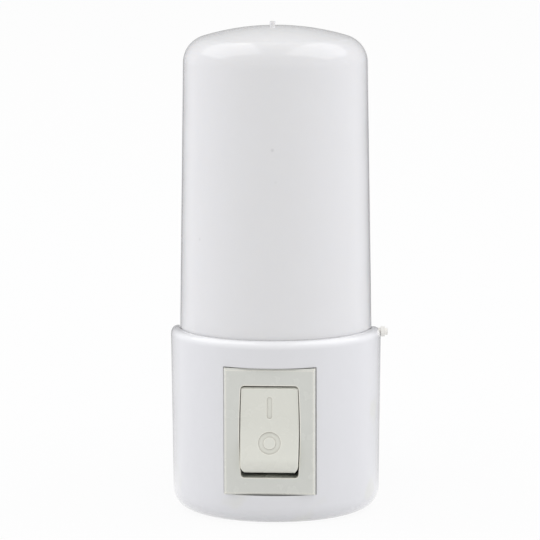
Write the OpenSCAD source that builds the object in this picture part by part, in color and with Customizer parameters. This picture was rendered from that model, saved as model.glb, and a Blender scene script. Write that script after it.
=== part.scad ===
// Plug-in night light: an opal shade over a round two-part base, with a rocker switch in the
// front of the base and a two-pin round-pin plug on a neck behind it.
//
// Millimetres, +Z up, the switch faces -Y. The origin is on the plug's engagement face, midway
// between the pins. The pieces are drawn about the axis of the base, with z = 0 at its bottom,
// and in_plug_frame() moves them to the origin above.

/* [Base] */
// Radius of the base at its rim
base_r = 17.6; // [17.3:0.1:19.5]
// How much narrower the base is just above its rounded bottom edge
base_draft = 0.3; // [0:0.05:0.5]
// Height of the rim above the bottom of the base
base_h = 30.6; // [30.6:0.1:34]
// Wall of the two base shells
base_wall = 1.6; // [1.2:0.1:1.8]
// Radius of the bottom edge
base_edge_r = 3.1; // [2:0.1:4]
// Width of the rim outside the shade
rim_w = 1.55; // [1.45:0.05:1.8]
// How much lower the rim is on the rear shell
rim_step = 0.8; // [0:0.1:1]
// Height of the rim's lip above the bead of the shade
lip_h = 1.7; // [1.6:0.1:2.2]
// Rounding of the rim
rim_round = 1.2; // [0.5:0.1:1.3]
// Thickness of the ledge that carries the lamp board
ledge_t = 1.1; // [0.8:0.1:1.3]
// Width of that ledge, in from the wall
ledge_w = 2.1; // [1.4:0.1:3]

/* [Shade] */
// How much narrower the shade is at its shoulder than at the rim
shade_taper = 0.7; // [0:0.05:1]
// Height of the top of the crown above the bottom of the base
shade_top = 81; // [70:1:100]
// Radius of the shoulder
shoulder_round = 4.5; // [3:0.1:6]
// How far the crown rises above the shoulder
crown_rise = 1.6; // [1:0.1:3]
// Wall of the shade
shade_wall = 1.5; // [1.1:0.1:1.7]
// How far the retaining bead stands out from the foot of the shade
bead_w = 0.5; // [0.3:0.05:0.55]
// Height of the retaining bead
bead_h = 1; // [0.7:0.1:1.1]
// Diameter of the moulding gate left on the crown
gate_d = 0.9; // [0.6:0.1:1.5]
// Height of the moulding gate
gate_h = 0.7; // [0.2:0.05:1]
// How far the gate mark lies to the left of the middle
gate_side = 0.45; // [0:0.05:1]

/* [Shade peg] */
// Diameter of the peg's shank
peg_d = 1.2; // [1:0.1:1.3]
// Diameter of its collar
peg_collar_d = 1.7; // [1.5:0.1:1.9]
// Thickness of its collar
peg_collar_t = 0.65; // [0.4:0.05:0.9]
// Diameter of its tip
peg_tip_d = 1.15; // [0.8:0.05:1.4]
// Length of its tip
peg_tip_l = 0.5; // [0.3:0.05:0.8]

/* [Plug] */
// Distance between the centres of the pins
pin_spacing = 19; // [18.6:0.1:19.4]
// Diameter of the bare contact length
pin_d = 4; // [4:0.1:4.2]
// Length of a pin beyond the engagement face
pin_l = 19; // [18.5:0.5:20]
// Diameter of the insulating sleeve
sleeve_d = 3.6; // [3.4:0.05:3.7]
// Length of the insulating sleeve
sleeve_l = 10; // [9:0.5:11]
// Width of the plug neck
neck_w = 32; // [31:0.5:32]
// Width of the flats of the plug neck
neck_flat_w = 24; // [22:0.5:26]
// Height of the plug neck
neck_h = 13.7; // [13:0.1:14.4]
// Wall of the plug neck
neck_wall = 1.8; // [1.4:0.1:2]
// Thickness of the engagement face
face_wall = 5; // [4.5:0.1:6]
// Distance from the back of the base to the engagement face
neck_l = 18.5; // [17.5:0.5:22]

/* [Switch] */
// Width of the bezel
bezel_w = 15; // [14.6:0.1:15.2]
// Height of the bezel
bezel_h = 21; // [20.6:0.1:21.2]
// Thickness of the bezel
bezel_t = 2; // [1.8:0.1:2.2]
// Chamfer round the front of the bezel
bezel_chamfer = 0.3; // [0.2:0.05:0.7]
// How far the front of the bezel lies inside the radius of the rim
bezel_inset = 0.6; // [0.4:0.1:0.8]
// Height of the web between the window and the lamp board
window_web = 0.33; // [0.3:0.01:1]
// Width of the well that the rocker sits in
well_w = 9.5; // [9.2:0.1:9.8]
// Height of the well
well_h = 15.3; // [15.2:0.1:15.4]
// How far the sides of the well bow out at their middle
well_bow = 0.22; // [0:0.02:0.3]
// Width of the switch body behind the panel
housing_w = 12.9; // [12.7:0.1:13]
// Height of the switch body behind the panel
housing_h = 18.9; // [18.6:0.1:19]
// Depth of the switch body behind the bezel
housing_depth = 13.5; // [13.5:0.1:14]
// Floor of the switch body
housing_floor = 1.5; // [1:0.1:1.5]
// Panel that the switch snaps into
panel_t = 1.5; // [1.2:0.1:1.6]
// Width of a solder tab
tab_w = 4.8; // [4:0.1:4.8]
// Thickness of a solder tab
tab_t = 0.8; // [0.5:0.1:0.8]
// Length of a solder tab behind the switch body
tab_l = 8.5; // [7.5:0.1:9]
// Distance between the two solder tabs
tab_pitch = 7; // [6.8:0.1:7]

/* [Rocker] */
// Angle that the rocker turns through, from ON to OFF
rocker_throw = 24; // [20:1:24]
// Depth of the rocker's pivot behind the front of the bezel
pivot_depth = 3.2; // [3:0.1:3.4]
// How far the sides of the rocker bow out at their middle
rocker_bow = 0.16; // [0:0.02:0.16]
// Gap between the rocker and the ends of the well's sides
rocker_gap = 0.1; // [0.08:0.02:0.2]
// How far the pressed half lies behind the front of the bezel
rocker_recess = 0.15; // [0:0.05:0.3]
// Height of the pressed end above the pivot
rocker_end = 7.5; // [7.3:0.05:7.55]
// Rounding of the rocker's lower corners
corner_round = 2.5; // [2.3:0.1:2.7]
// Height above the pivot where the face starts to curve forward
curve_start = 1.95; // [1.9:0.05:2.3]
// Radius of the hollow in the face
face_r = 15.2; // [14.5:0.1:16]
// Radius of the rolled lower end
nose_r = 1.85; // [1.6:0.05:1.9]
// Depth of the rocker's skirt behind the pressed half
skirt_depth = 3.4; // [3:0.1:3.5]
// Wall of the rocker
rocker_wall = 1.1; // [0.9:0.1:1.2]
// Diameter of the trunnions
trunnion_d = 2.4; // [2:0.1:2.6]
// Depth of the marks in the face
mark_depth = 0.12; // [0.05:0.01:0.3]

/* [Contacts] */
// Diameter of the plunger
plunger_d = 1.9; // [1.6:0.1:2]
// Distance from the rocker's pivot to the middle of the plunger's round tip
plunger_reach = 7; // [6.8:0.1:7]
// Travel of the plunger into the stem
plunger_travel = 0.3; // [0.2:0.05:0.4]
// Thickness of the contact bar
bar_t = 0.5; // [0.4:0.05:0.6]
// Width of the contact bar
bar_w = 4.2; // [3.8:0.1:4.4]
// Length of each wing of the contact bar
bar_wing = 5.4; // [5.2:0.1:5.6]
// Angle that each wing is bent up by
bar_bend = 13; // [12:0.5:14]
// Turn of the contact bar for each degree of the rocker
bar_ratio = 0.6; // [0.55:0.05:0.6]
// Distance from the bend to the contact rivet
rivet_at = 4.4; // [4.2:0.1:4.4]
// Radius of the contact rivets
rivet_r = 1; // [0.8:0.05:1]
// Height of a contact rivet's head
rivet_h = 0.45; // [0.35:0.05:0.5]

/* [Lamp board] */
// Thickness of the board
board_t = 1.2; // [1:0.1:1.3]
// Diameter of a lamp
led_d = 3; // [3:0.1:5]
// Distance of each lamp from the middle of the board, along x and along y
led_offset = 3; // [2.5:0.1:3.5]
// Height of a lamp's flange above the board
led_standoff = 2; // [1:0.1:4]
// Width of the film capacitor
film_w = 10; // [8:0.5:11]
// Thickness of the film capacitor
film_t = 4; // [3:0.5:5]
// Height of the film capacitor
film_h = 9; // [8:0.5:12]
// Diameter of the smoothing capacitor
can_d = 6.3; // [5:0.1:8]
// Height of the smoothing capacitor
can_h = 11; // [10:0.5:14]

/* [Leads and screws] */
// Diameter of a lead over its insulation
lead_d = 1.4; // [1.2:0.1:1.4]
// Diameter of a lead's bare core
core_d = 0.6; // [0.5:0.05:0.7]
// Wall of the sleeves shrunk over the solder tabs
shrink_t = 0.35; // [0.25:0.05:0.4]
// Diameter of a screw's thread
screw_d = 2.2; // [2:0.1:2.2]
// Diameter of a screw's head
screw_head_d = 4; // [3.6:0.1:4]
// Height of a screw's head
screw_head_h = 1.5; // [1.2:0.1:1.6]
// Length of a case screw under its head
case_screw_l = 12; // [11:0.5:12.5]

/* [Clearances] */
// Gap round a fixed piece in its seat
seat_gap = 0.12; // [0.08:0.02:0.14]
// Gap on each side between the shade and the rim
rim_gap = 0.15; // [0.1:0.05:0.2]
// Radial gap of a pivot
pivot_gap = 0.05; // [0.03:0.01:0.08]
// Radial gap round a screw or pin in its hole
hole_gap = 0.03; // [0.02:0.01:0.06]
// Gap between the plunger and the contact bar at mid throw
tip_gap = 0.09; // [0.09:0.01:0.12]

/* [Hidden] */
$fn = 72;
eps = 0.01;
far = 60;

// Where the plug is, from the axis of the base
axis_to_face = base_r + neck_l;
face_in = axis_to_face - face_wall;

// Radii that follow the rim
base_foot_r = base_r - base_draft;
shade_r = base_r - rim_w;
shade_shoulder_r = shade_r - shade_taper;
bezel_front = base_r - bezel_inset;

// Outline of the shade
shoulder_c = [shade_shoulder_r - shoulder_round, shade_top - crown_rise - shoulder_round];
crown_drop = shade_top - shoulder_c[1];
crown_r = (pow(shoulder_c[0], 2) + pow(crown_drop, 2) - pow(shoulder_round, 2))
  / (2 * (crown_drop - shoulder_round));
crown_angle = atan2(shoulder_c[1] - (shade_top - crown_r), shoulder_c[0]);

// Inside of the base, with the lamp board's ledge and the shade's groove hung from the rim
cavity_r = base_foot_r - base_wall;
cavity_edge_r = base_edge_r - base_wall;
groove_top = base_h - lip_h;
skirt_z = groove_top - rim_gap - bead_h;
ledge_top = skirt_z - board_t;
board_gap = 0.2;
board_r = cavity_r - board_gap;
bead_r = shade_r_at(skirt_z) + bead_w;
groove_r = bead_r + rim_gap;
lip_r = shade_r + rim_gap;
peg_z = base_h - lip_h / 2;
switch_height = ledge_top - window_web - seat_gap - bezel_h / 2;

// Switch, in its own frame: y = 0 at the front of the bezel and z = 0 at its middle
panel_back = bezel_t + panel_t;
panel_side = 1.2;
panel_foot = 1.5;
floor_in = bezel_t + housing_depth - housing_floor;
tab_end = bezel_t + housing_depth + tab_l;
tilt = rocker_throw / 2;
well_round = 0.6;
wing_catch = 0.8;
wing_w = 4;
wing_l = 4;
bend_depth = pivot_depth + plunger_reach + (plunger_d / 2) / cos(bar_bend) + tip_gap;
bar_pivot = bend_depth + bar_t / cos(bar_bend);
bar_rest = bar_ratio * tilt;
contact_gap = 0.03;
dome_r = 1.6;
fixed_face = bar_pivot + rivet_depth() + contact_gap;
plate_front = fixed_face + rivet_h;
bore_start = 1.5;
stem_l = plunger_reach - plunger_travel - 0.8;
stem_r = plunger_d / 2 + 0.75;
bar_stop = 0.31;
bar_pad_z = 0.72 * bar_wing;
trunnion_grip = 0.75;
trunnion_end = well_w / 2 + well_bow + trunnion_grip;
rocker_half_w = well_w / 2 - rocker_gap;
trunnion_root = rocker_half_w - rocker_wall / 2;
foot_rise = 0.14;
rocker_foot = well_h / 2 - foot_rise;
end_round = 0.35;
mark_w = 0.85;
on_mark_h = 3.6;
on_mark_z = 4;
off_mark_r = 1.85;
off_mark_z = -1.8;
fork_w = 0.65;
fork_gap = 0.1;
rivet_gap = 0.02;
tab_hole_r = 0.7;
tab_hole_in = 2.6;
plunger_tail = 3.6;

// Screws, and the bosses that they hold together at the parting plane
screw_gap = 0.15;
counterbore_r = screw_head_d / 2 + screw_gap;
counterbore_wall = 0.75;
head_seat_y = 6.5;
boss_r = 2.1;
boss_end = -8;
boss_web = 0.58;
boss_inset = 1;
upper_screw_z = ledge_top - ledge_t - counterbore_r - boss_web;
lower_screw_z = base_wall + boss_r + 0.3;
upper_screw_x = cavity_r - boss_r - boss_inset;
lower_screw_x = housing_w / 2 + boss_r + 0.95;
neck_web = 0.02;
plug_height = upper_screw_z - counterbore_r - neck_h / 2 - neck_web;
case_screw_at = [
  for (s = [-1, 1]) each [[s * upper_screw_x, upper_screw_z], [s * lower_screw_x, lower_screw_z]]
];
rib_t = 1.2;
screw_point = 0.8;
screw_point_r = 0.4;
slot_w = 0.5;
slot_depth = 0.8;

// Pins
pin_flange_r = 3;
pin_flange_t = 1.5;
pin_core_r = 1.5;
pin_root_r = 2.25;
sleeve_root = 1.2;
pin_tip_round = 1.4;
cup_r = 1.2;
cup_l = 5;
cup_bore_r = 0.45;
cup_bore_l = 3;
retainer_t = 2.5;
retainer_screw_l = 6.4;
retainer_boss_r = 2.6;
cup_end = face_in - pin_flange_t - cup_l;

// Board: the parts stand round the lamps, each beside the one before
part_gap = 0.4;
part_lift = 0.3;
led_legs = 1.27;
led_flange = 0.3;
led_dome_z = 2.6;
led_reach = led_offset + led_d / 2 + led_flange;
film_y = led_reach + part_gap + film_t / 2;
film_legs = film_w / 2 - 1.2;
can_y = -led_reach - part_gap - can_d / 2;
can_legs = 1.25;
bridge_size = [4.7, 6.4, 2.6];
bridge_x = -led_reach - part_gap - bridge_size[0] / 2;
bridge_legs = 1.6;
bleed_r = 1.15;
bleed_l = 6.3;
bleed_x = led_reach + part_gap + bleed_r;
bleed_legs = bleed_l / 2 + 1;
fusible_r = 1.5;
fusible_l = 8.4;
fusible_x = bleed_x + bleed_r + part_gap + fusible_r;
fusible_legs = fusible_l / 2 + 1;
leg_r = 0.27;
leg_stub = 0.5;
leg_hole_r = 0.45;
board_hole_r = 0.5;
lead_hole = [film_w / 2 + 2, 6.4];

// Leads: the points that each one passes, from the plug or switch to its far end
core_gap = 0.05;
tab_lead_z = tab_t / 2 + core_d / 2 + core_gap;
core_root = 0.4;
solder_l = 3;
core_poke = 0.9;
shrink_y = [tab_end - 6, tab_end + 1.6];
shrink_round = 0.3;
tab_lead_y = tab_end - bezel_front + 0.3;
tab_out = tab_lead_y + 1.2;
live_route = [
  [-pin_spacing / 2, cup_end - 0.3, plug_height],
  [-pin_spacing / 2, cup_end - 3, plug_height],
  [-6.5, lead_y(0.62), plug_height + 1],
  [-2, lead_y(0.39), switch_height + 0.5],
  [0, lead_y(0.17), switch_height + tab_lead_z],
  [0, tab_out, switch_height + tab_lead_z],
  [0, tab_lead_y, switch_height + tab_lead_z]
];
switched_route = [
  [0, tab_lead_y, switch_height - tab_pitch + tab_lead_z],
  [0, tab_out, switch_height - tab_pitch + tab_lead_z],
  [-0.6, lead_y(0.17), switch_height - tab_pitch + 1.1],
  [-4, lead_y(0.3), switch_height - 4.2],
  [-6.6, lead_y(0.2), switch_height + 1.5],
  [-lead_hole[0], lead_hole[1] + 0.8, switch_height + 6.5],
  [-lead_hole[0], lead_hole[1], ledge_top - 1.8],
  [-lead_hole[0], lead_hole[1], ledge_top - 0.4]
];
neutral_route = [
  [pin_spacing / 2, cup_end - 0.3, plug_height],
  [pin_spacing / 2, cup_end - 3, plug_height],
  [pin_spacing / 2 - 0.3, lead_y(0.62), plug_height + 0.8],
  [lead_hole[0] + 0.3, lead_y(0.25), plug_height + 3.2],
  [lead_hole[0], lead_hole[1] + 0.8, switch_height + 6],
  [lead_hole[0], lead_hole[1], ledge_top - 1.8],
  [lead_hole[0], lead_hole[1], ledge_top - 0.4]
];

// ---------- Functions ----------

// Depth of a point a share of the way from the switch's tabs to the pins' cups
function lead_y(share) = tab_out + share * (cup_end - 3 - tab_out);

// Points of an arc from angle a0 to angle a1
function arc(c, r, a0, a1, n) =
  [for (i = [0:n]) let (a = a0 + (a1 - a0) * i / n) [c[0] + r * cos(a), c[1] + r * sin(a)]];

// Outer radius of the shade's wall at a height
function shade_r_at(z) =
  shade_r + (shade_shoulder_r - shade_r) * (z - base_h) / (shoulder_c[1] - base_h);

// How far behind the bar's pivot the domed rivet reaches at rest
function rivet_depth() =
  let (a = bar_rest - bar_bend)
  (rivet_h - dome_r) * cos(a) + rivet_at * sin(a) + dome_r;

// A rectangle with rounded corners whose long sides bow out by a parabola
function bowed(w, h, bow, r) =
  let (s = h / 2 - r, n = 10)
  concat(
    [for (i = [0:n]) let (z = -s + 2 * s * i / n) [w / 2 + bow * (1 - pow(z / s, 2)), z]],
    arc([w / 2 - r, s], r, 15, 90, 4),
    arc([-w / 2 + r, s], r, 90, 165, 4),
    [for (i = [0:n]) let (z = s - 2 * s * i / n) [-w / 2 - bow * (1 - pow(z / s, 2)), z]],
    arc([-w / 2 + r, -s], r, 195, 270, 4),
    arc([w / 2 - r, -s], r, 270, 345, 4)
  );

// Outline of the plug neck, inset by t: six sides, pointed at the two ends
function neck_outline(t) =
  let (
    slant = norm([neck_h / 2, (neck_w - neck_flat_w) / 2]),
    end = neck_w / 2 - t * slant / (neck_h / 2),
    h = neck_h / 2 - t,
    flat = end - h * (neck_w - neck_flat_w) / neck_h
  )
  [[-end, 0], [-flat, -h], [flat, -h], [end, 0], [flat, h], [-flat, h]];

// A smooth run of points through a lead's own points
function between(a, b, c, d, t) =
  0.5 * (2 * b + (c - a) * t + (2 * a - 5 * b + 4 * c - d) * t * t + (3 * b - a - 3 * c + d) * t * t * t);
function smooth(p, k) =
  let (m = len(p) - 1)
  concat(
    [for (i = [0:m - 1]) for (j = [0:k - 1])
      between(p[max(i - 1, 0)], p[i], p[i + 1], p[min(i + 2, m)], j / k)],
    [p[m]]
  );
function unit(v) = v / norm(v);
function tangents(p) =
  let (m = len(p) - 1)
  [for (i = [0:m]) unit(p[min(i + 1, m)] - p[max(i - 1, 0)])];
function square_to(v, t) = unit(v - (v * t) * t);

// ---------- Shared shapes ----------

module in_plug_frame() {
  translate([0, -axis_to_face, -plug_height]) children();
}

module in_switch_frame() {
  in_plug_frame() translate([0, -bezel_front, switch_height]) children();
}

// A 2D outline in x and z, filled from depth y0 to depth y1
module slab(y0, y1) {
  translate([0, y1, 0]) rotate([90, 0, 0]) linear_extrude(y1 - y0) children();
}

// A 2D outline in y and z, filled across x
module across(w) {
  rotate([90, 0, 90]) linear_extrude(w, center = true) children();
}

// A cylinder along y
module rod(r, y0, y1) {
  translate([0, y1, 0]) rotate([90, 0, 0]) cylinder(h = y1 - y0, r = r);
}

module box(x, y, z) {
  translate([x[0], y[0], z[0]]) cube([x[1] - x[0], y[1] - y[0], z[1] - z[0]]);
}

// A tube of radius r along the points p
module sweep(p, r, sides, first) {
  t = tangents(p);
  across_t = [for (i = 0, n = square_to(first, t[0]); i < len(p);
    i = i + 1, n = square_to(n, t[min(i, len(p) - 1)])) n];
  points = [for (i = [0:len(p) - 1]) for (j = [0:sides - 1])
    let (a = 360 * j / sides) p[i] + r * (cos(a) * across_t[i] + sin(a) * cross(t[i], across_t[i]))];
  last = (len(p) - 1) * sides;
  walls = [for (i = [0:len(p) - 2]) for (j = [0:sides - 1])
    let (a = i * sides + j, b = i * sides + (j + 1) % sides)
    each [[b + sides, b, a], [a + sides, b + sides, a]]];
  ends = [[for (j = [0:sides - 1]) j], [for (j = [sides - 1:-1:0]) last + j]];
  polyhedron(points, concat(walls, ends));
}

// Solid outside of the base, up to height h
module base_solid(h) {
  edge = [base_foot_r - base_edge_r, base_edge_r];
  rim = [base_r - rim_round, h - rim_round];
  rotate_extrude() polygon(concat(
    [[0, 0]],
    arc(edge, base_edge_r, -90, 0, 10),
    arc(rim, rim_round, 0, 90, 6),
    [[0, h]]
  ));
}

// Room inside the base: the cavity, the board's pocket, the bead's groove and the mouth
module base_room() {
  edge = [cavity_r - cavity_edge_r, base_wall + cavity_edge_r];
  ledge_r = cavity_r - ledge_w;
  rotate_extrude() polygon(concat(
    [[0, base_wall]],
    arc(edge, cavity_edge_r, -90, 0, 5),
    [
      [cavity_r, ledge_top - ledge_t], [ledge_r, ledge_top - ledge_t],
      [ledge_r, ledge_top], [cavity_r, ledge_top],
      [cavity_r, skirt_z - rim_gap / 2], [groove_r, skirt_z - rim_gap / 2],
      [groove_r, groove_top], [lip_r, groove_top],
      [lip_r, base_h + 1], [0, base_h + 1]
    ]
  ));
}

// Everything in front of (side = -1) or behind (side = 1) the parting plane
module half(side) {
  box([-far, far], side < 0 ? [-far, 0] : [0, far], [-far, far]);
}

// The notch that both shells share round the shade peg
module peg_notch() {
  translate([0, 0, peg_z]) rotate([0, 90, 0]) cylinder(h = base_r + 2, r = peg_d / 2 + hole_gap);
}

// ---------- Casing ----------

module front_shell() {
  color("#f2f2f1") in_plug_frame() difference() {
    union() {
      intersection() {
        difference() {
          base_solid(base_h);
          base_room();
        }
        half(-1);
      }
      intersection() {
        base_solid(base_h);
        switch_panel();
      }
      intersection() {
        base_solid(base_h);
        front_bosses();
      }
    }
    translate([0, -bezel_front, switch_height]) {
      slab(-far, bezel_t) square([bezel_w, bezel_h] + 2 * seat_gap * [1, 1], center = true);
      slab(0, panel_back + eps) square([housing_w, housing_h] + 2 * seat_gap * [1, 1], center = true);
    }
    for (p = case_screw_at) translate([p[0], 0, p[1]]) rod(screw_d / 2 + hole_gap, boss_end + 1, eps);
    peg_notch();
  }
}

// Thickened wall round the window, with a flat back that the switch snaps behind
module switch_panel() {
  side = bezel_w / 2 + panel_side;
  foot = switch_height - bezel_h / 2 - panel_foot;
  box([-side, side], [-far, panel_back - bezel_front], [foot, ledge_top]);
}

module front_bosses() {
  for (p = case_screw_at) translate([p[0], 0, p[1]]) rod(boss_r, boss_end, 0);
  for (s = [0, 1]) mirror([s, 0, 0]) {
    box([upper_screw_x, base_r], [boss_end, 0], [upper_screw_z - rib_t / 2, upper_screw_z + rib_t / 2]);
    box([lower_screw_x - rib_t / 2, lower_screw_x + rib_t / 2], [boss_end, 0],
      [base_wall / 2, lower_screw_z]);
  }
}

module rear_shell() {
  color("#f2f2f1") in_plug_frame() difference() {
    union() {
      intersection() {
        difference() {
          base_solid(base_h - rim_step);
          base_room();
        }
        half(1);
      }
      intersection() {
        base_solid(base_h - rim_step);
        rear_bosses();
      }
      difference() {
        translate([0, 0, plug_height]) slab(0, axis_to_face) polygon(neck_outline(0));
        base_room();
      }
      translate([0, 0, plug_height]) rod(retainer_boss_r, face_in - pin_flange_t, face_in + eps);
    }
    difference() {
      translate([0, 0, plug_height]) slab(-eps, face_in) polygon(neck_outline(neck_wall));
      translate([0, 0, plug_height]) rod(retainer_boss_r, face_in - pin_flange_t, face_in + 1);
    }
    for (p = case_screw_at) translate([p[0], 0, p[1]]) {
      rod(screw_d / 2 + screw_gap, -1, far);
      rod(counterbore_r, head_seat_y, far);
    }
    for (s = [-1, 1]) translate([s * pin_spacing / 2, 0, plug_height])
      rod(pin_root_r + hole_gap, face_in - 1, axis_to_face + 1);
    translate([0, 0, plug_height])
      rod(screw_d / 2 + hole_gap, face_in - pin_flange_t - 1, axis_to_face - 2);
    peg_notch();
  }
}

module rear_bosses() {
  r = counterbore_r + counterbore_wall;
  for (p = case_screw_at) translate([p[0], 0, p[1]]) rod(r, 0, far);
}

module shade() {
  foot = [[bead_r, skirt_z], [bead_r, skirt_z + bead_h], [shade_r_at(skirt_z + bead_h), skirt_z + bead_h]];
  crown_c = [0, shade_top - crown_r];
  color("#ecebe8") in_plug_frame() difference() {
    union() {
      rotate_extrude() polygon(concat(
        foot,
        arc(shoulder_c, shoulder_round, 0, crown_angle, 12),
        arc(crown_c, crown_r, crown_angle, 90, 10),
        arc(crown_c, crown_r - shade_wall, 90, crown_angle, 10),
        arc(shoulder_c, shoulder_round - shade_wall, crown_angle, 0, 8),
        [[shade_r_at(skirt_z) - shade_wall, skirt_z]]
      ));
      translate([-gate_side, 0, shade_top - shade_wall / 2])
        cylinder(h = shade_wall / 2 + gate_h, r = gate_d / 2);
    }
    peg_notch();
  }
}

module shade_lock_peg() {
  seat = base_r + hole_gap;
  shade_in = shade_r - shade_wall;
  color("#d6cfb4") in_plug_frame() translate([0, 0, peg_z]) rotate([0, 90, 0]) {
    translate([0, 0, shade_in]) cylinder(h = seat - shade_in, r = peg_d / 2, $fn = 32);
    translate([0, 0, seat]) cylinder(h = peg_collar_t, r = peg_collar_d / 2, $fn = 32);
    translate([0, 0, seat]) cylinder(h = peg_collar_t + peg_tip_l, r = peg_tip_d / 2, $fn = 32);
  }
}

// ---------- Switch ----------

module switch_housing() {
  wall_z = [-housing_h / 2, housing_h / 2];
  back = bezel_t + housing_depth;
  color("#dad8cc") in_switch_frame() difference() {
    union() {
      bezel();
      slab(bezel_t - eps, back) square([housing_w, housing_h], center = true);
      for (s = [0, 1]) mirror([s, 0, 0]) snap_wing();
    }
    difference() {
      slab(-1, floor_in) polygon(bowed(well_w, well_h, well_bow, well_round));
      housing_blocks();
    }
    translate([0, pivot_depth, 0]) rotate([0, 90, 0])
      cylinder(h = 2 * (trunnion_end + seat_gap), r = trunnion_d / 2 + pivot_gap, center = true);
    slab(floor_in - 2, back + 1) for (z = [0, -tab_pitch]) translate([0, z])
      square([tab_w, tab_t] + 0.1 * [1, 1], center = true);
  }
}

// Front flange with its chamfered edges
module bezel() {
  c = bezel_chamfer;
  w = bezel_w / 2;
  h = bezel_h / 2;
  intersection() {
    linear_extrude(bezel_h, center = true) polygon([
      [-w, bezel_t], [-w, c], [-w + c, 0], [w - c, 0], [w, c], [w, bezel_t]
    ]);
    across(bezel_w) polygon([[bezel_t, -h], [c, -h], [0, -h + c], [0, h - c], [c, h], [bezel_t, h]]);
  }
}

// Barb that holds the switch behind the panel
module snap_wing() {
  root = housing_w / 2 - wing_catch / 2;
  start = panel_back + seat_gap;
  linear_extrude(wing_w, center = true) polygon([
    [root, start], [housing_w / 2 + wing_catch, start],
    [housing_w / 2, start + wing_l], [root, start + wing_l]
  ]);
}

// Blocks on the floor: one under the fixed contact's plate, one where the bar rests when OFF
module housing_blocks() {
  box([-far, far], [plate_front + tab_t, far], [-well_h / 2, -rivet_at + rivet_r]);
  box([-far, far], [bar_pivot - bar_stop, far], [bar_pad_z, far]);
}

// Side outline of the rocker at rest, in the switch's frame
function rocker_side() =
  let (
    front = rocker_recess,
    hollow = [front - face_r, curve_start],
    nose_start = hollow + face_r * [cos(rocker_throw), -sin(rocker_throw)],
    nose = nose_start + nose_r * [cos(rocker_throw), -sin(rocker_throw)],
    end_normal = 180 + 90 - tilt,
    low = nose + nose_r * [cos(end_normal), sin(end_normal)],
    skirt = front + skirt_depth,
    low_end = low + (skirt - low[0]) / cos(tilt) * [cos(tilt), -sin(tilt)],
    high_end = [skirt, rocker_end - (skirt - front) * tan(tilt)]
  )
  concat(
    [low_end, high_end],
    [[front + end_round, rocker_end - end_round * tan(tilt)], [front, rocker_end - end_round]],
    arc(hollow, face_r, 0, -rocker_throw, 12),
    arc(nose, nose_r, 180 - rocker_throw, end_normal, 14)
  );

// The hollow behind the rocker's face, one wall inside the outline
function rocker_inside() =
  let (
    w = rocker_wall,
    front = rocker_recess + w,
    hollow = [rocker_recess - face_r, curve_start],
    skirt = rocker_recess + skirt_depth + 1,
    lean = (skirt_depth + 1) * tan(tilt)
  )
  concat(
    [[skirt, -rocker_end + w + lean], [skirt, rocker_end - w - lean]],
    [[front, rocker_end - w - w * tan(tilt)]],
    arc(hollow, face_r + w, 0, -rocker_throw + 2, 8)
  );

module rocker() {
  color("#e4e2d6") in_switch_frame() difference() {
    union() {
      difference() {
        intersection() {
          across(far) polygon(rocker_side());
          slab(-far, far) polygon(bowed(2 * rocker_half_w, well_h, rocker_bow, well_round));
          slab(-far, far) translate([0, far / 2 - rocker_foot])
            rounded([2 * (rocker_half_w + rocker_bow), far], corner_round);
        }
        across(2 * (rocker_half_w - rocker_wall)) polygon(rocker_inside());
      }
      translate([0, pivot_depth, 0]) {
        for (s = [0, 1]) mirror([s, 0, 0]) translate([trunnion_root, 0, 0])
          rotate([0, 90, 0]) cylinder(h = trunnion_end - trunnion_root, r = trunnion_d / 2);
        stem();
      }
    }
    translate([0, pivot_depth, 0]) rotate([-tilt, 0, 0])
      rod(plunger_d / 2 + pivot_gap, -bore_start, stem_l + 1);
    on_mark();
    off_mark();
  }
}

// Tube that holds the spring and guides the plunger; it starts inside the rocker's face
module stem() {
  intersection() {
    rotate([-tilt, 0, 0]) rod(stem_r, -far, stem_l);
    translate([0, -pivot_depth, 0]) across(far) polygon(concat(
      [[far, -far], [far, far], [rocker_recess + rocker_wall / 2, far]],
      arc([rocker_recess - face_r, curve_start], face_r + rocker_wall / 2, 0, -rocker_throw, 6)
    ));
  }
}

// Upright bar cut into the pressed half
module on_mark() {
  r = mark_w / 2;
  translate([0, 0, on_mark_z]) slab(-1, rocker_recess + mark_depth) union() {
    square([mark_w, on_mark_h - mark_w], center = true);
    for (s = [-1, 1]) translate([0, s * (on_mark_h / 2 - r)]) circle(r = r, $fn = 24);
  }
}

// Ring cut into the raised half, square to the face there
module off_mark() {
  up = asin((curve_start - off_mark_z) / face_r);
  translate([0, rocker_recess - face_r, curve_start]) rotate([-up, 0, 0])
    slab(face_r - 1, face_r + mark_depth) difference() {
      circle(r = off_mark_r, $fn = 48);
      circle(r = off_mark_r - mark_w, $fn = 32);
    }
}

module rocker_plunger() {
  color("#e8e6df") in_switch_frame() translate([0, pivot_depth, 0]) rotate([-tilt, 0, 0]) {
    rod(plunger_d / 2, plunger_tail, plunger_reach);
    translate([0, plunger_reach, 0]) sphere(r = plunger_d / 2, $fn = 32);
  }
}

module rocker_spring() {
  turns = 8;
  wire_r = 0.11;
  coil_r = plunger_d / 2 - wire_r - 0.05;
  start = -bore_start + wire_r + 0.02;
  end = plunger_tail - wire_r - 0.02;
  steps = turns * 10;
  path = [for (i = [0:steps]) let (a = 360 * turns * i / steps)
    [coil_r * cos(a), start + (end - start) * i / steps, coil_r * sin(a)]];
  color("silver") in_switch_frame() translate([0, pivot_depth, 0]) rotate([-tilt, 0, 0])
    sweep(path, wire_r, 6, [1, 0, 0]);
}

// Moves its children to the lower wing of the contact bar, with y along the wing's thickness
module on_lower_wing() {
  in_switch_frame() translate([0, bar_pivot, 0]) rotate([bar_rest - bar_bend, 0, 0]) children();
}

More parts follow.
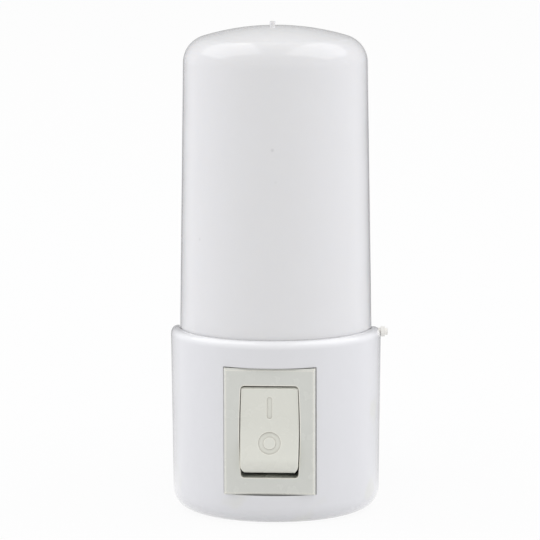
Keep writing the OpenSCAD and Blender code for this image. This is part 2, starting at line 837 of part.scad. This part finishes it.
module contact_bar() {
  color("#c9a24b") in_switch_frame() difference() {
    translate([0, bar_pivot, 0]) rotate([bar_rest, 0, 0]) difference() {
      across(bar_w) polygon(bar_side());
      for (s = [0, 1]) mirror([s, 0, 0])
        box([bar_w / 2 - fork_w - fork_gap, bar_w], [-2, 2], [-tab_t, tab_t]);
    }
    translate([0, bar_pivot, 0]) rotate([bar_rest - bar_bend, 0, 0])
      translate([0, 0, -rivet_at]) rod(rivet_r / 2, -2, 2);
  }
}

// Side outline of the bar about its pivot, which is the back of its bend
function bar_side() =
  let (
    tip = bar_wing * [-sin(bar_bend), cos(bar_bend)],
    up = bar_t * [-cos(bar_bend), -sin(bar_bend)]
  )
  [
    [0, 0], tip, tip + up, [-bar_t / cos(bar_bend), 0],
    [tip[0] + up[0], -tip[1] - up[1]], [tip[0], -tip[1]]
  ];

module moving_contact() {
  color("#d8d8d4") on_lower_wing() translate([0, 0, -rivet_at]) {
    intersection() {
      rod(rivet_r, 0, rivet_h + 1);
      translate([0, rivet_h - dome_r, 0]) sphere(r = dome_r);
    }
    rod(rivet_r / 2 - rivet_gap, -bar_t - rivet_gap, eps);
    rod(rivet_r * 0.8, -bar_t - 0.2, -bar_t);
  }
}

module fixed_contact() {
  color("#d8d8d4") in_switch_frame() translate([0, 0, -rivet_at]) {
    rod(rivet_r, fixed_face, plate_front);
    rod(rivet_r / 2 - rivet_gap, plate_front - eps, plate_front + tab_t);
  }
}

module common_terminal() {
  fork_in = bar_w / 2 - fork_w;
  seat = bar_pivot + contact_gap;
  color("#cfa75a") in_switch_frame() difference() {
    union() {
      box([-bar_w / 2, bar_w / 2], [seat - 1, floor_in + eps], [-tab_t / 2, tab_t / 2]);
      box([-tab_w / 2, tab_w / 2], [floor_in - tab_t, tab_end], [-tab_t / 2, tab_t / 2]);
    }
    box([-fork_in, fork_in], [0, seat], [-tab_t, tab_t]);
    tab_hole();
  }
}

module switched_terminal() {
  low = -tab_pitch - tab_t / 2;
  color("#cfa75a") in_switch_frame() difference() {
    union() {
      box([-tab_w / 2, tab_w / 2], [plate_front, plate_front + tab_t], [low, -rivet_at + rivet_r]);
      box([-tab_w / 2, tab_w / 2], [plate_front, tab_end], [low, low + tab_t]);
    }
    translate([0, 0, -rivet_at]) rod(rivet_r / 2, 0, far);
    translate([0, 0, -tab_pitch]) tab_hole();
  }
}

// Hole in a solder tab
module tab_hole() {
  translate([0, tab_end - tab_hole_in, 0]) cylinder(h = 2 * tab_t, r = tab_hole_r, center = true, $fn = 24);
}

// ---------- Plug ----------

// One solid pin, with a solder cup inside the neck and a thinner core under its sleeve
module pin(side) {
  profile = concat(
    [
      [0, cup_end], [cup_r, cup_end], [cup_r, face_in - pin_flange_t],
      [pin_flange_r, face_in - pin_flange_t], [pin_flange_r, face_in], [pin_root_r, face_in],
      [pin_root_r, axis_to_face - sleeve_root], [pin_core_r, axis_to_face - sleeve_root],
      [pin_core_r, axis_to_face + sleeve_l], [pin_d / 2, axis_to_face + sleeve_l]
    ],
    arc([pin_d / 2 - pin_tip_round, axis_to_face + pin_l - pin_tip_round], pin_tip_round, 0, 90, 6),
    [[0, axis_to_face + pin_l]]
  );
  color("#cdb177") in_plug_frame() translate([side * pin_spacing / 2, 0, plug_height]) difference() {
    rotate([-90, 0, 0]) rotate_extrude($fn = 48) polygon(profile);
    rod(cup_bore_r, cup_end - 1, cup_end + cup_bore_l);
  }
}

module left_pin() {
  pin(-1);
}

module right_pin() {
  pin(1);
}

module pin_sleeves() {
  color("#f2f2f1") in_plug_frame() for (s = [-1, 1])
    translate([s * pin_spacing / 2, axis_to_face, plug_height]) rotate([-90, 0, 0])
      rotate_extrude($fn = 48) polygon([
        [pin_core_r, -sleeve_root], [pin_root_r, -sleeve_root], [pin_root_r, 0],
        [sleeve_d / 2, 0], [sleeve_d / 2, sleeve_l], [pin_core_r, sleeve_l]
      ]);
}

// Plate that clamps the pins' flanges against the engagement face
module pin_retainer() {
  back = face_in - pin_flange_t;
  color("#e8e8e6") in_plug_frame() translate([0, 0, plug_height]) difference() {
    slab(back - retainer_t, back) polygon(neck_outline(neck_wall + seat_gap));
    for (s = [-1, 1]) translate([s * pin_spacing / 2, 0, 0]) rod(cup_r + screw_gap, 0, far);
    rod(screw_d / 2 + screw_gap, 0, far);
  }
}

// Round-headed screw pointing forward (turn = 0) or back (turn = 180), head seat at y = 0
module screw(l, turn) {
  rotate([0, 0, turn]) {
    rod(screw_d / 2, -l + screw_point, eps, $fn = 36);
    translate([0, -l + screw_point, 0]) rotate([90, 0, 0])
      cylinder(h = screw_point, r1 = screw_d / 2, r2 = screw_point_r, $fn = 36);
    difference() {
      rod(screw_head_d / 2, 0, screw_head_h, $fn = 36);
      for (a = [0, 90]) rotate([0, a, 0])
        box([-screw_head_d * 0.3, screw_head_d * 0.3], [screw_head_h - slot_depth, screw_head_h + 1],
          [-slot_w / 2, slot_w / 2]);
    }
  }
}

module retainer_screw() {
  color("#b9babc") in_plug_frame()
    translate([0, face_in - pin_flange_t - retainer_t, plug_height]) screw(retainer_screw_l, 180);
}

module case_screws() {
  color("#b9babc") in_plug_frame() for (p = case_screw_at)
    translate([p[0], head_seat_y, p[1]]) screw(case_screw_l, 0);
}

// ---------- Lamp board ----------

module led_board() {
  color("#d9c9a0") in_plug_frame() difference() {
    translate([0, 0, ledge_top]) cylinder(h = board_t, r = board_r);
    for (s = [-1, 1]) translate([s * lead_hole[0], lead_hole[1], 0])
      cylinder(h = far, r = board_hole_r, $fn = 24);
    for (x = [-1, 1]) for (y = [-1, 1]) translate([x * led_offset, y * led_offset, 0]) leg_holes(led_legs);
    translate([0, film_y, 0]) leg_holes(film_legs);
    translate([0, can_y, 0]) leg_holes(can_legs);
    for (s = [-1, 1]) translate([bridge_x, s * bridge_legs, 0]) leg_holes(bridge_legs);
    translate([bleed_x, 0, 0]) rotate(90) leg_holes(bleed_legs);
    translate([fusible_x, 0, 0]) rotate(90) leg_holes(fusible_legs);
  }
}

module leg_holes(x) {
  for (s = [-1, 1]) translate([s * x, 0, 0]) cylinder(h = far, r = leg_hole_r, $fn = 24);
}

// Two wire legs, at x on either side, from height z down through the board
module legs(x, z) {
  down = board_t + leg_stub;
  for (s = [-1, 1]) translate([s * x, 0, -down]) cylinder(h = z + down, r = leg_r, $fn = 16);
}

module on_board() {
  in_plug_frame() translate([0, 0, skirt_z]) children();
}

module leds() {
  r = led_d / 2;
  color("#f4e9a6") on_board() for (x = [-1, 1]) for (y = [-1, 1])
    translate([x * led_offset, y * led_offset, 0]) {
      legs(led_legs, led_standoff + leg_r);
      translate([0, 0, led_standoff]) rotate_extrude($fn = 40) polygon(concat(
        [[0, 0], [r + led_flange, 0], [r + led_flange, 0.9], [r, 0.9]],
        arc([0, led_dome_z], r, 0, 90, 8)
      ));
    }
}

module film_capacitor() {
  size = [film_w, film_t, film_h];
  color("#7d2a22") on_board() translate([0, film_y, 0]) {
    legs(film_legs, 1);
    translate([0, 0, part_lift]) intersection() {
      linear_extrude(size[2]) rounded([size[0], size[1]], 1.2);
      translate([0, 0, size[2] / 2]) slab(-far, far) rounded([size[0], size[2]], 1.2);
    }
  }
}

// A rectangle with rounded corners
module rounded(size, r) {
  union() {
    square([size[0], size[1] - 2 * r], center = true);
    square([size[0] - 2 * r, size[1]], center = true);
    for (x = [-1, 1]) for (y = [-1, 1])
      translate([x * (size[0] / 2 - r), y * (size[1] / 2 - r)]) circle(r = r, $fn = 32);
  }
}

module smoothing_capacitor() {
  r = can_d / 2;
  color("#23262b") on_board() translate([0, can_y, 0]) {
    legs(can_legs, 1);
    translate([0, 0, part_lift]) rotate_extrude($fn = 48) polygon(concat(
      [[0, 0]],
      arc([r - 0.5, 0.5], 0.5, -90, 0, 3),
      [[r, 1.3], [r - 0.35, 1.7], [r, 2.1]],
      arc([r - 0.5, can_h - 0.5], 0.5, 0, 90, 3),
      [[r - 1.1, can_h], [r - 1.1, can_h - 0.15], [0, can_h - 0.15]]
    ));
  }
}

module bridge_rectifier() {
  color("#1d1e20") on_board() translate([bridge_x, 0, 0]) {
    for (s = [-1, 1]) translate([0, s * bridge_legs, 0]) legs(bridge_legs, 1);
    translate([0, 0, part_lift]) linear_extrude(bridge_size[2])
      square([bridge_size[0], bridge_size[1]], center = true);
  }
}

// An axial resistor along y, with its legs bent down through the board
module resistor(x, r, l, leg) {
  z = r + part_lift;
  cap = l * 0.14;
  on_board() translate([x, 0, 0]) {
    rotate(90) legs(leg, z);
    translate([0, 0, z]) {
      rod(leg_r, -leg, leg, $fn = 16);
      rod(r * 0.88, -l / 2, l / 2, $fn = 32);
      for (s = [-1, 1]) translate([0, s * (l / 2 - cap), 0]) rod(r, -cap, cap, $fn = 32);
    }
  }
}

module bleed_resistor() {
  color("#c8b489") resistor(bleed_x, bleed_r, bleed_l, bleed_legs);
}

module fusible_resistor() {
  color("#8fa08a") resistor(fusible_x, fusible_r, fusible_l, fusible_legs);
}

// ---------- Leads ----------

// An insulated lead along its route, with a bare core beyond each end
module lead(route, start_core, end_core) {
  p = smooth(route, 5);
  in_plug_frame() {
    sweep(p, lead_d / 2, 10, [1, 0.3, 0.2]);
    core(p[0], start_core);
    core(p[len(p) - 1], end_core);
  }
}

// A bare core from a point along a vector, rooted inside the insulation
module core(from, reach) {
  root = from - core_root * unit(reach);
  sweep([root, from + reach], core_d / 2, 8, [1, 0.3, 0.2]);
}

module live_lead() {
  color("#7a4a2b") lead(live_route, [0, cup_bore_l, 0], [0, -solder_l, 0]);
}

module switched_lead() {
  color("#26282b") lead(switched_route, [0, -solder_l, 0], [0, 0, board_t + core_poke]);
}

module neutral_lead() {
  color("#2f5f9e") lead(neutral_route, [0, cup_bore_l, 0], [0, 0, board_t + core_poke]);
}

module tab_sleeves() {
  low = -tab_t / 2 - seat_gap;
  high = tab_lead_z + lead_d / 2 + seat_gap;
  room = [tab_w + 2 * seat_gap, high - low];
  color("#3a3c40") in_switch_frame() for (z = [0, -tab_pitch])
    translate([0, 0, z + (low + high) / 2])
      difference() {
        slab(shrink_y[0], shrink_y[1]) rounded(room + 2 * shrink_t * [1, 1], shrink_round + shrink_t);
        slab(shrink_y[0] - 1, shrink_y[1] + 1) rounded(room, shrink_round);
      }
}

front_shell();
rear_shell();
shade();
shade_lock_peg();
switch_housing();
rocker();
rocker_plunger();
rocker_spring();
contact_bar();
moving_contact();
fixed_contact();
common_terminal();
switched_terminal();
left_pin();
right_pin();
pin_sleeves();
pin_retainer();
retainer_screw();
case_screws();
led_board();
leds();
film_capacitor();
smoothing_capacitor();
bridge_rectifier();
bleed_resistor();
fusible_resistor();
live_lead();
switched_lead();
neutral_lead();
tab_sleeves();
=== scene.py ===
import math

import bpy
from mathutils import Matrix, Vector


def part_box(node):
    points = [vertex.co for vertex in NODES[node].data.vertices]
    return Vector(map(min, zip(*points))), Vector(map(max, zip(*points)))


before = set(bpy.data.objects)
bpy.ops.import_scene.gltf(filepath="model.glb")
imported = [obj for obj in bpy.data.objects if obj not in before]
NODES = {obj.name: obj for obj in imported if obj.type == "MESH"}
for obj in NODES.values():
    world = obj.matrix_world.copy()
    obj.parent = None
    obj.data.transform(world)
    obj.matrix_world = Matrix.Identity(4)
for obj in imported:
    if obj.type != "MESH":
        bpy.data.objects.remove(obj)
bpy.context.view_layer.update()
SCENE = bpy.context.scene
SCENE.view_settings.view_transform = "Standard"

# The base's axis and the floor just under the base, in the frame's metres
AXIS_TO_PLUG_FACE = 0.0361
FLOOR_GAP = 0.00005
AXIS_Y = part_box("rear_shell")[1].y - AXIS_TO_PLUG_FACE
FLOOR_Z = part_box("rear_shell")[0].z - FLOOR_GAP


def linear(c):
    """sRGB 0-255 to linear."""
    return tuple(
        v / 255 / 12.92 if v <= 10.31 else ((v / 255 + 0.055) / 1.055) ** 2.4 for v in c
    ) + (1.0,)


# ---------------------------------------------------------------- camera
CAMERA_BEARING = math.radians(3.7)
CAMERA_HEIGHT = math.radians(8.16)
CAMERA_ROLL = math.radians(-0.12)
CAMERA_DISTANCE = 0.6
CAMERA_SIDESTEP = -0.00096
CAMERA_AIM = Vector((0, AXIS_Y, FLOOR_Z + 0.04005))
FOCAL_PIXELS = 3581.4
FRAME_PIXELS = 540
SENSOR_MM = 36


def camera():
    """A long lens that looks slightly down on the front of the lamp."""
    az, el = CAMERA_BEARING, CAMERA_HEIGHT
    right = Vector((math.cos(az), math.sin(az), 0))
    look = Vector((-math.sin(az) * math.cos(el), math.cos(az) * math.cos(el), -math.sin(el)))
    up = right.cross(look)
    rolled_right = right * math.cos(CAMERA_ROLL) + up * math.sin(CAMERA_ROLL)
    rolled_up = up * math.cos(CAMERA_ROLL) - right * math.sin(CAMERA_ROLL)
    place = CAMERA_AIM - look * CAMERA_DISTANCE + right * CAMERA_SIDESTEP
    cam = bpy.data.objects.new("camera", bpy.data.cameras.new("camera"))
    SCENE.collection.objects.link(cam)
    m = Matrix.Identity(4)
    for i in range(3):
        m[i][0], m[i][1], m[i][2], m[i][3] = rolled_right[i], rolled_up[i], -look[i], place[i]
    cam.matrix_world = m
    cam.data.sensor_width = SENSOR_MM
    cam.data.lens = SENSOR_MM * FOCAL_PIXELS / FRAME_PIXELS
    cam.data.clip_start = 0.01
    cam.data.clip_end = 10
    SCENE.camera = cam


camera()


# ---------------------------------------------------------------- materials
def maths(tree, operation, *values):
    """A Math node on sockets or numbers, and its output."""
    n = tree.nodes.new("ShaderNodeMath")
    n.operation = operation
    for socket, v in enumerate(values):
        if hasattr(v, "is_linked"):
            tree.links.new(v, n.inputs[socket])
        else:
            n.inputs[socket].default_value = v
    return n.outputs[0]


def mix_shader(tree, fac, a, b):
    """Shader a where fac is 0 and b where it is 1."""
    m = tree.nodes.new("ShaderNodeMixShader")
    for socket, value in enumerate((fac, a, b)):
        tree.links.new(value, m.inputs[socket])
    return m.outputs[0]


class Mat:
    """A small helper that builds node materials."""

    def __init__(self, name):
        self.m = bpy.data.materials.new(name)
        self.m.use_nodes = True
        self.t = self.m.node_tree
        self.t.nodes.clear()
        self.out = self.t.nodes.new("ShaderNodeOutputMaterial")
        self.p = self.t.nodes.new("ShaderNodeBsdfPrincipled")
        self.link(self.p.outputs[0], self.out.inputs[0])
        self.co = self.t.nodes.new("ShaderNodeTexCoord").outputs["Object"]

    def link(self, a, b):
        self.t.links.new(a, b)

    def set(self, **kw):
        for k, v in kw.items():
            self.p.inputs[k.replace("_", " ")].default_value = v
        return self

    def noise(self, scale, detail=3, rough=0.5, stretch=(1, 1, 1)):
        mp = self.t.nodes.new("ShaderNodeMapping")
        mp.inputs["Scale"].default_value = stretch
        self.link(self.co, mp.inputs[0])
        n = self.t.nodes.new("ShaderNodeTexNoise")
        n.inputs["Scale"].default_value = scale
        n.inputs["Detail"].default_value = detail
        n.inputs["Roughness"].default_value = rough
        self.link(mp.outputs[0], n.inputs["Vector"])
        return n.outputs["Fac"]

    def ramp(self, fac, a, b, lo=0.0, hi=1.0):
        r = self.t.nodes.new("ShaderNodeMapRange")
        r.inputs["From Min"].default_value = a
        r.inputs["From Max"].default_value = b
        r.inputs["To Min"].default_value = lo
        r.inputs["To Max"].default_value = hi
        self.link(fac, r.inputs["Value"])
        return r.outputs["Result"]

    def maths(self, operation, *values):
        return maths(self.t, operation, *values)

    def coordinate(self, axis):
        """The object's own coordinate along an axis."""
        place = self.t.nodes.new("ShaderNodeSeparateXYZ")
        self.link(self.co, place.inputs[0])
        return place.outputs[axis]

    def mix(self, fac, a, b):
        x = self.t.nodes.new("ShaderNodeMix")
        x.data_type = "RGBA"
        for s, v in ((0, fac), (6, a), (7, b)):
            if hasattr(v, "is_linked"):
                self.link(v, x.inputs[s])
            else:
                x.inputs[s].default_value = v
        return x.outputs[2]

    def sharp_edges(self, radius):
        """1 close to a sharp edge, 0 away from it."""
        soft = self.t.nodes.new("ShaderNodeBevel")
        soft.samples = 6
        soft.inputs["Radius"].default_value = radius
        flat = self.t.nodes.new("ShaderNodeNewGeometry")
        turn = self.t.nodes.new("ShaderNodeVectorMath")
        turn.operation = "DOT_PRODUCT"
        self.link(soft.outputs[0], turn.inputs[0])
        self.link(flat.outputs["True Normal"], turn.inputs[1])
        return self.ramp(turn.outputs["Value"], 0.985, 0.88)

    def recess(self, reach):
        """1 in narrow recesses, 0 in the open."""
        # Ambient occlusion gives the mask for painted shade in recesses
        n = self.t.nodes.new("ShaderNodeAmbientOcclusion")
        n.samples = 8
        n.inputs["Distance"].default_value = reach
        return self.ramp(n.outputs["AO"], 0.95, 0.5)

    def dots(self, scale, size, share):
        """Sparse soft dots: 1 in a dot, 0 outside."""
        n = self.t.nodes.new("ShaderNodeTexVoronoi")
        n.inputs["Scale"].default_value = scale
        self.link(self.co, n.inputs["Vector"])
        dot = self.ramp(n.outputs["Distance"], size, size * 0.3)
        lot = self.t.nodes.new("ShaderNodeSeparateColor")
        self.link(n.outputs["Color"], lot.inputs[0])
        drawn = self.ramp(lot.outputs[0], share, share - 0.02)
        return self.maths("MULTIPLY", dot, drawn)

    def bump(self, height, strength, distance, edge=0.0):
        b = self.t.nodes.new("ShaderNodeBump")
        b.inputs["Strength"].default_value = strength
        b.inputs["Distance"].default_value = distance
        self.link(height, b.inputs["Height"])
        if edge:
            v = self.t.nodes.new("ShaderNodeBevel")
            v.samples = 6
            v.inputs["Radius"].default_value = edge
            self.link(v.outputs[0], b.inputs["Normal"])
        self.link(b.outputs[0], self.p.inputs["Normal"])


# How far below the top of a thin edge its painted highlight starts and is full, and the
# highlight's colour
HIGHLIGHT_FADE = (0.0014, 0.0004)
HIGHLIGHT_COLOUR = (247, 247, 248)
# Width of the painted highlight on a sharp edge and of the painted shade in a recess
PAINTED_EDGE_REACH = 0.0004


def plastic(
    name, colour, rough, tint, grain=900, bump=0.03, edge=0.0, coat=0.0, sss=0.0, gloss=0.5,
    highlight_top=None, edge_highlight=None, recess_shade=None, specks=None, smudge=None,
):
    """Moulded plastic: faint clouding in the colour, a fine surface and rounded edges.

    highlight_top is the height of a thin top edge, under which a paler band is painted as a
    highlight;
    edge_highlight is the colour painted on sharp edges as a highlight, and recess_shade that
    painted in recesses as shade;
    specks and smudge are the colours of sparse dots and of faint larger marks."""
    k = Mat(name)
    cloud = k.noise(140, 8, 0.8)
    body = k.mix(k.ramp(cloud, 0.25, 0.75), linear(colour), linear(tint))
    # Painted highlight: a paler band just under a thin top edge stands in for the edge's bright
    # highlight
    if highlight_top:
        highlight_band = k.ramp(k.coordinate("Z"), highlight_top - HIGHLIGHT_FADE[0], highlight_top - HIGHLIGHT_FADE[1])
        body = k.mix(highlight_band, body, linear(HIGHLIGHT_COLOUR))
    if specks:
        body = k.mix(k.dots(160, 0.06, 0.3), body, linear(specks))
    if smudge:
        body = k.mix(k.ramp(k.noise(130, 2), 0.64, 0.74), body, linear(smudge))
    # Painted highlight: sharp edges are made paler, as if they caught the light
    if edge_highlight:
        body = k.mix(k.sharp_edges(PAINTED_EDGE_REACH), body, linear(edge_highlight))
    # Painted shade: recesses, found by ambient occlusion, are made darker
    if recess_shade:
        body = k.mix(k.recess(PAINTED_EDGE_REACH), body, linear(recess_shade))
    k.link(body, k.p.inputs["Base Color"])
    k.link(k.ramp(k.noise(300, 3), 0.3, 0.7, rough - 0.02, rough + 0.03), k.p.inputs["Roughness"])
    k.bump(k.noise(grain, 5, 0.65), bump, 0.0001, edge)
    k.set(IOR=1.5, Specular_IOR_Level=gloss)
    if coat:
        k.set(Coat_Weight=coat, Coat_Roughness=0.03)
    if sss:
        k.set(Subsurface_Weight=sss, Subsurface_Scale=0.004)
        k.p.inputs["Subsurface Radius"].default_value = (1.0, 0.9, 0.8)
    return k.m


def metal(name, colour, rough, scratch=(1, 1, 1), edge=0.0):
    """Plated or drawn metal with fine drawing lines."""
    k = Mat(name)
    lines = k.noise(700, 4, 0.6, scratch)
    stain = k.ramp(k.noise(240, 4), 0.35, 0.75)
    darker = linear([c * 0.82 for c in colour])
    k.link(k.mix(stain, linear(colour), darker), k.p.inputs["Base Color"])
    k.link(k.ramp(lines, 0.3, 0.7, rough - 0.05, rough + 0.1), k.p.inputs["Roughness"])
    k.bump(lines, 0.15, 0.00005, edge)
    k.set(Metallic=1.0)
    return k.m


RIM_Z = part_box("front_shell")[1].z
# The white plastic gets a painted highlight band just under the rim's top edge
M_WHITE = plastic(
    "white_plastic", (228, 228, 230), 0.1, (226, 226, 228), edge=0.0002, bump=0.02,
    coat=1.0, gloss=1.0, highlight_top=RIM_Z, smudge=(225, 225, 221),
)
M_OPAL = plastic(
    "opal_plastic", (233, 232, 232), 0.08, (231, 230, 230), bump=0.02,
    coat=1.0, sss=0.25, gloss=1.0, specks=(219, 218, 218),
)
# The switch housing gets a painted highlight on its sharp edges
M_IVORY = plastic(
    "ivory_plastic", (220, 221, 214), 0.26, (218, 219, 212), grain=2600, edge=0.0001, bump=0.02,
    edge_highlight=(254, 250, 236),
)
# The rocker gets a painted highlight on its sharp edges and painted shade in its recesses
M_ROCKER = plastic(
    "rocker_plastic", (231, 231, 221), 0.26, (229, 229, 219), grain=2600, edge=0.0001, bump=0.02,
    edge_highlight=(254, 252, 240), recess_shade=(190, 188, 179),
)
M_PEG = plastic("peg_plastic", (254, 252, 246), 0.3, (252, 250, 244), edge=0.00015)
M_NYLON = plastic("nylon", (232, 230, 222), 0.4, (226, 223, 212))
M_BRASS = metal("brass", (214, 178, 108), 0.28, (1, 1, 0.1), 0.0001)
M_NICKEL = metal("nickel_pin", (212, 206, 192), 0.2, (1, 0.08, 1), 0.0001)
M_STEEL = metal("zinc_steel", (190, 192, 196), 0.3, (0.2, 1, 0.2), 0.0001)
M_SPRING = metal("spring_steel", (196, 196, 198), 0.2)
M_SILVER = metal("silver_alloy", (224, 223, 220), 0.22)
M_BOARD = plastic("board_laminate", (214, 205, 160), 0.5, (196, 180, 122), grain=500, bump=0.1)
M_LED = plastic("lamp_epoxy", (243, 226, 130), 0.12, (240, 220, 110), coat=0.5)
M_FILM = plastic("capacitor_epoxy", (118, 36, 26), 0.25, (104, 30, 22), coat=0.4)
M_CAN = plastic("capacitor_can", (38, 42, 52), 0.35, (30, 34, 42))
M_BLACK = plastic("black_epoxy", (32, 32, 34), 0.5, (26, 26, 27), bump=0.1)
M_LACQUER = plastic("resistor_lacquer", (206, 186, 148), 0.3, (196, 172, 130))
M_CEMENT = plastic("cement", (150, 164, 148), 0.65, (136, 150, 134), bump=0.2)
M_BROWN = plastic("brown_insulation", (110, 66, 38), 0.4, (98, 58, 32))
M_WIRE_BLACK = plastic("black_insulation", (38, 38, 40), 0.4, (30, 30, 32))
M_BLUE = plastic("blue_insulation", (52, 96, 164), 0.4, (44, 84, 150))
M_SHRINK = plastic("shrink_tube", (44, 45, 48), 0.5, (36, 37, 40), bump=0.08)

FINISH = {
    "front_shell": M_WHITE, "rear_shell": M_WHITE, "shade": M_OPAL, "shade_lock_peg": M_PEG,
    "switch_housing": M_IVORY, "rocker": M_ROCKER, "rocker_plunger": M_NYLON,
    "rocker_spring": M_SPRING, "contact_bar": M_BRASS, "moving_contact": M_SILVER,
    "fixed_contact": M_SILVER, "common_terminal": M_BRASS, "switched_terminal": M_BRASS,
    "left_pin": M_NICKEL, "right_pin": M_NICKEL, "pin_sleeves": M_WHITE, "pin_retainer": M_WHITE,
    "retainer_screw": M_STEEL, "case_screws": M_STEEL, "led_board": M_BOARD, "leds": M_LED,
    "film_capacitor": M_FILM, "smoothing_capacitor": M_CAN, "bridge_rectifier": M_BLACK,
    "bleed_resistor": M_LACQUER, "fusible_resistor": M_CEMENT, "live_lead": M_BROWN,
    "switched_lead": M_WIRE_BLACK, "neutral_lead": M_BLUE, "tab_sleeves": M_SHRINK,
}


def dress(name, mat, angle=32):
    """Gives a CAD node its finish and smooth shading across its shallow edges."""
    o = NODES[name]
    if not o.material_slots:
        o.data.materials.append(mat)
    for s in o.material_slots:
        s.material = mat
    o.data.polygons.foreach_set("use_smooth", [True] * len(o.data.polygons))
    weld = o.modifiers.new("weld", "WELD")
    weld.merge_threshold = 1e-6
    split = o.modifiers.new("split", "EDGE_SPLIT")
    split.split_angle = math.radians(angle)
    w = o.modifiers.new("weighted", "WEIGHTED_NORMAL")
    w.keep_sharp = True
    w.weight = 90


for node_name, finish in FINISH.items():
    dress(node_name, finish)


# ---------------------------------------------------------------- stage and light
# Strength of the world as a light, and of a background that shows as white
WORLD = 0.76
WHITE = 1.0
# The floor's half width and how much of it glows for the rays that see it
FLOOR_HALF = 3.0
FLOOR_GLOW = 0.93
CARD_TALL = 0.24
# What the lamps aim at, how far off they hang, and their colours
MID = Vector((0, AXIS_Y, FLOOR_Z + 0.04))
LAMP_DISTANCE = 0.9
FILL_HEIGHT = math.radians(20)
COOL = (0.83, 0.84, 1.0)
NEUTRAL = (1.0, 1.0, 1.0)


def seen_rays(tree, share):
    """share for the rays that show the background (camera, glossy, transmission), else 0."""
    path = tree.nodes.new("ShaderNodeLightPath")
    total = path.outputs["Is Camera Ray"]
    for ray in ("Is Glossy Ray", "Is Transmission Ray"):
        total = maths(tree, "MAXIMUM", total, path.outputs[ray])
    return maths(tree, "MULTIPLY", total, share)


def floor():
    """A pale floor that takes the shadow and is nearly white to the rays that see it."""
    s = FLOOR_HALF
    corners = [(-s, -s, FLOOR_Z), (s, -s, FLOOR_Z), (s, s, FLOOR_Z), (-s, s, FLOOR_Z)]
    mesh = bpy.data.meshes.new("floor")
    mesh.from_pydata(corners, [], [(0, 1, 2, 3)])
    ground = bpy.data.objects.new("floor", mesh)
    SCENE.collection.objects.link(ground)
    k = Mat("floor")
    k.set(Base_Color=(0.8, 0.8, 0.8, 1), Roughness=0.7, Specular_IOR_Level=0.2)
    glow = k.t.nodes.new("ShaderNodeEmission")
    glow.inputs["Strength"].default_value = WHITE
    surface = mix_shader(k.t, seen_rays(k.t, FLOOR_GLOW), k.p.outputs[0], glow.outputs[0])
    k.link(surface, k.out.inputs[0])
    mesh.materials.append(k.m)


def grey_card():
    """A curved card behind the object, which only reflections show.

    It gives the pale sides their darker edge. It fades out towards its top and its two ends."""
    half, n = math.radians(70), 41
    turns = [half * (2 * i / (n - 1) - 1) for i in range(n)]
    profile = ((0.019, 0.0005), (0.08, 0.0005), (0.08, CARD_TALL))
    points = [(r * math.sin(a), r * math.cos(a), z) for r, z in profile for a in turns]
    faces = [(j + i, j + i + 1, j + i + n + 1, j + i + n) for j in (0, n) for i in range(n - 1)]
    mesh = bpy.data.meshes.new("grey_card")
    mesh.from_pydata(points, [], faces)
    card = bpy.data.objects.new("grey_card", mesh)
    card.location = (0, AXIS_Y, FLOOR_Z)
    SCENE.collection.objects.link(card)
    k = Mat("grey_card")
    k.set(Base_Color=(0.4, 0.4, 0.4, 1), Roughness=0.9, Specular_IOR_Level=0.0)
    height = k.coordinate("Z")
    turn = k.maths("ABSOLUTE", k.maths("ARCTAN2", k.coordinate("X"), k.coordinate("Y")))
    across = k.ramp(turn, math.radians(30), math.radians(68), 1.0, 0.0)
    up = k.maths("POWER", k.ramp(height, 0.06, CARD_TALL, 1.0, 0.0), 2.0)
    foot = k.ramp(height, 0.008, 0.026, 0.6, 1.0)
    thick = k.maths("MULTIPLY", k.maths("MULTIPLY", across, up), foot)
    clear = k.t.nodes.new("ShaderNodeBsdfTransparent")
    k.link(mix_shader(k.t, thick, clear.outputs[0], k.p.outputs[0]), k.out.inputs[0])
    mesh.materials.append(k.m)
    card.visible_camera = False
    card.visible_diffuse = False
    card.visible_transmission = False
    card.visible_shadow = False


def sky():
    """An even world, white to the rays that see it."""
    world = bpy.data.worlds.new("world")
    SCENE.world = world
    world.use_nodes = True
    t = world.node_tree
    t.nodes.clear()
    out = t.nodes.new("ShaderNodeOutputWorld")
    lights = []
    for strength in (WORLD, WHITE):
        b = t.nodes.new("ShaderNodeBackground")
        b.inputs["Color"].default_value = (1, 1, 1, 1)
        b.inputs["Strength"].default_value = strength
        lights.append(b.outputs[0])
    t.links.new(mix_shader(t, seen_rays(t, 1.0), *lights), out.inputs[0])


def panel(name, place, target, size, watts, colour):
    """A soft rectangular lamp."""
    data = bpy.data.lights.new(name, "AREA")
    data.shape = "RECTANGLE"
    data.size, data.size_y = size
    data.energy = watts
    data.color = colour
    o = bpy.data.objects.new(name, data)
    SCENE.collection.objects.link(o)
    o.location = place
    o.rotation_euler = (Vector(target) - Vector(place)).to_track_quat("-Z", "Y").to_euler()
    return o


def overhead(name, x, y, size, watts):
    """A soft box that hangs level above the object's middle, beside it by x and y."""
    place = MID + Vector((x, y, LAMP_DISTANCE))
    panel(name, place, place - Vector((0, 0, 1)), size, watts, NEUTRAL)


def fill(name, az, watts):
    """A soft fill with no highlight, at a bearing of 0 in front and + to the right."""
    a, e = math.radians(az), FILL_HEIGHT
    away = Vector((math.sin(a) * math.cos(e), -math.cos(a) * math.cos(e), math.sin(e)))
    lamp = panel(name, MID + away * LAMP_DISTANCE, MID, (0.7, 0.5), watts, COOL)
    lamp.visible_glossy = False


floor()
grey_card()
sky()
overhead("left_softbox", -0.95, 0.16, (1.53, 1.2), 3.08)
overhead("right_softbox", 0.98, 0.16, (1.56, 1.3), 3.28)
fill("left_fill", -90, 1.65)
fill("right_fill", 90, 1.65)
